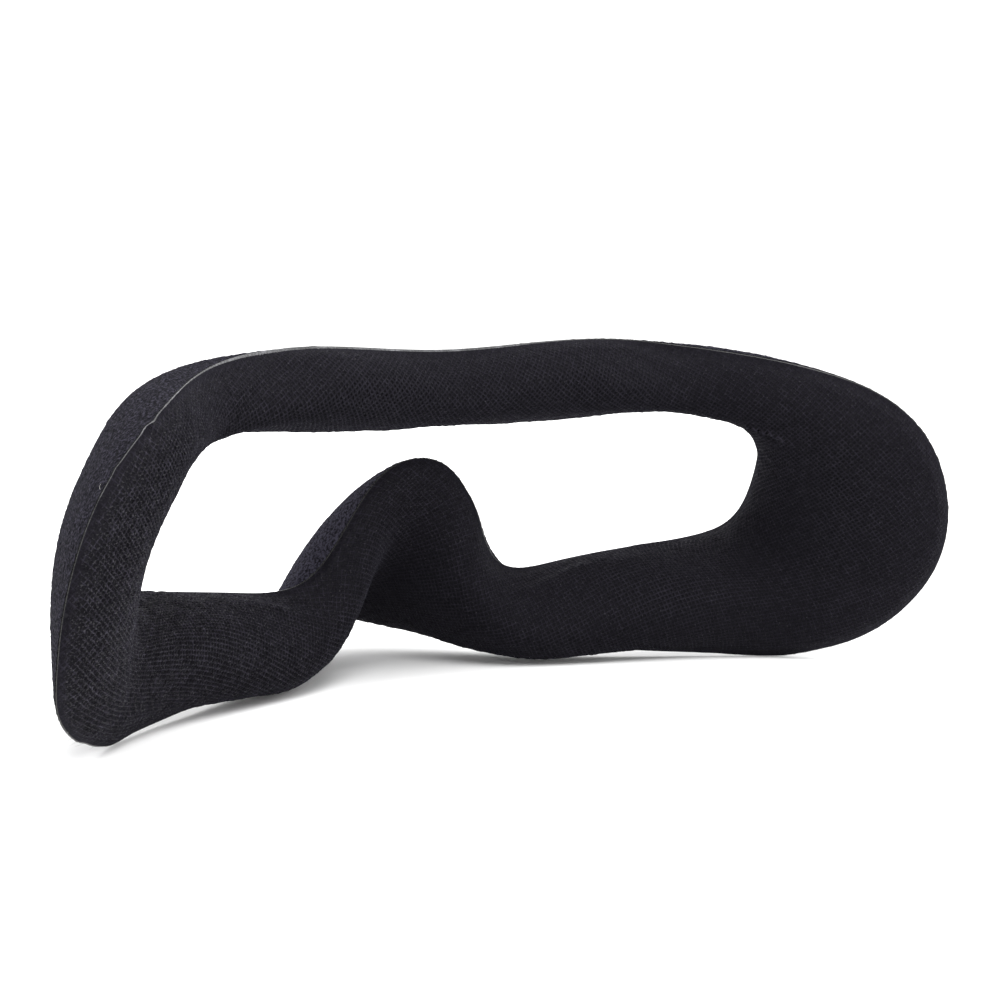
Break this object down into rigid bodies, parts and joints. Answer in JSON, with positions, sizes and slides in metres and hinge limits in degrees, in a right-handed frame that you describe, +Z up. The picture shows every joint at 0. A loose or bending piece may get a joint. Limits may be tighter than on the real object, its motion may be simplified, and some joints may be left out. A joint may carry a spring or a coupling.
{
  "type": "fpv goggles face pad",
  "caption": "Soft foam face pad for FPV goggles: padded mask-shaped ring with a wide eye opening, temple lobes and nose arch, knit face side and velour loop back.",
  "frame": {"origin": "on the surface that the pad stands on, under the middle of its box", "axes": "+Z up; X runs across the face and the pad is mirror-symmetric in it; -Y is the padded face side, +Y the goggle side"},
  "size_m": [0.1738, 0.0814, 0.0605],
  "materials": {
    "air_mesh": "matte",
    "bonding_film": "matte",
    "foam": "matte",
    "velour_loop": "matte"
  },
  "bodies": {
    "root": {"face_mesh": "air_mesh", "face_film": "bonding_film", "foam_core": "foam", "back_film": "bonding_film", "loop_backing": "velour_loop"}
  },
  "joints": []
}
